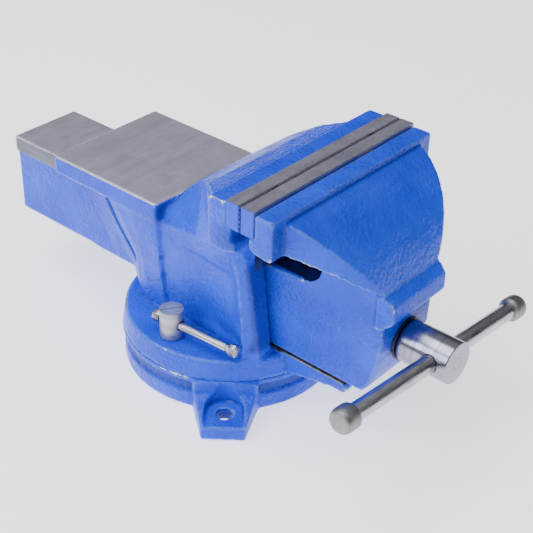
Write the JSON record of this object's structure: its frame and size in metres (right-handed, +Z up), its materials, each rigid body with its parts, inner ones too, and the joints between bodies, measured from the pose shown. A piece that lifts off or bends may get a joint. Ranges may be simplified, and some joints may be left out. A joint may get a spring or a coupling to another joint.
{
  "type": "bench vise",
  "caption": "Bench vise with an anvil, replaceable jaw plates, a screw-driven moving jaw, a sliding cross handle and a swivel base with lock nuts.",
  "frame": {"origin": "on the bench under the swivel axis, in the middle of the base's centre pad", "axes": "+X along the spindle towards the handle, +Y to the far side across the jaws, +Z up from the bench"},
  "size_m": [0.3622, 0.1893, 0.1717],
  "materials": {
    "cast_enamel": "glossy blue enamel over rough cast iron, with ground grey anvil, step and jaw tops",
    "jaw_steel": "ground grey, blue paint on the ends",
    "turned_steel": "bright turned steel with fine lathe rings",
    "spring_steel": "dark oiled steel",
    "bare_cast_iron": "unpainted, lightly oiled"
  },
  "bodies": {
    "base": {"swivel_base": "cast_enamel"},
    "body": {"fixed_body": "cast_enamel", "fixed_jaw_plate": "jaw_steel", "fixed_plate_screw_near": "spring_steel", "fixed_plate_screw_far": "spring_steel", "spindle_nut": "bare_cast_iron", "nut_clamp_bolt": "spring_steel", "nut_clamp_washer": "spring_steel", "near_t_bolt": "spring_steel", "far_t_bolt": "spring_steel"},
    "jaw": {"moving_jaw": "cast_enamel", "moving_jaw_plate": "jaw_steel", "moving_plate_screw_near": "spring_steel", "moving_plate_screw_far": "spring_steel"},
    "spindle": {"spindle": "turned_steel", "thrust_washer": "spring_steel", "spring_collar": "turned_steel", "return_spring": "spring_steel", "split_pin": "spring_steel"},
    "handle": {"spindle_handle": "turned_steel", "handle_knob_near": "turned_steel", "handle_knob_far": "turned_steel"},
    "near_lock": {"near_lock_nut": "turned_steel"},
    "near_bar": {"near_lock_bar": "turned_steel", "near_lock_knob_rear": "turned_steel", "near_lock_knob_front": "turned_steel"},
    "far_lock": {"far_lock_nut": "turned_steel"},
    "far_bar": {"far_lock_bar": "turned_steel", "far_lock_knob_rear": "turned_steel", "far_lock_knob_front": "turned_steel"}
  },
  "joints": [
    {"name": "swivel", "type": "hinge", "parent": "base", "child": "body", "pos_m": [0, 0, 0], "axis": [0, 0, 1], "continuous": true},
    {"name": "jaw_slide", "type": "slide", "parent": "body", "child": "jaw", "axis": [1, 0, 0], "range_m": [0, 0.15]},
    {"name": "spindle_turn", "type": "hinge", "parent": "jaw", "child": "spindle", "pos_m": [0.14, 0, 0.0757], "axis": [1, 0, 0], "range_deg": [0, 10800]},
    {"name": "handle_slide", "type": "slide", "parent": "spindle", "child": "handle", "axis": [0, 0.9945, -0.1045], "range_m": [-0.0629, 0.0723]},
    {"name": "near_lock_turn", "type": "hinge", "parent": "body", "child": "near_lock", "pos_m": [0, -0.057, 0.049], "axis": [0, 0, 1], "range_deg": [-175, 0]},
    {"name": "near_bar_slide", "type": "slide", "parent": "near_lock", "child": "near_bar", "axis": [-0.9968, -0.0802, 0], "range_m": [0, 0.0385]},
    {"name": "far_lock_turn", "type": "hinge", "parent": "body", "child": "far_lock", "pos_m": [0, 0.057, 0.049], "axis": [0, 0, 1], "range_deg": [0, 175]},
    {"name": "far_bar_slide", "type": "slide", "parent": "far_lock", "child": "far_bar", "axis": [0.9968, -0.0802, 0], "range_m": [-0.0385, 0]}
  ],
  "couplings": [
    {"joint": "spindle_turn", "follows": "jaw_slide", "rad_per_m": 1256.6}
  ]
}
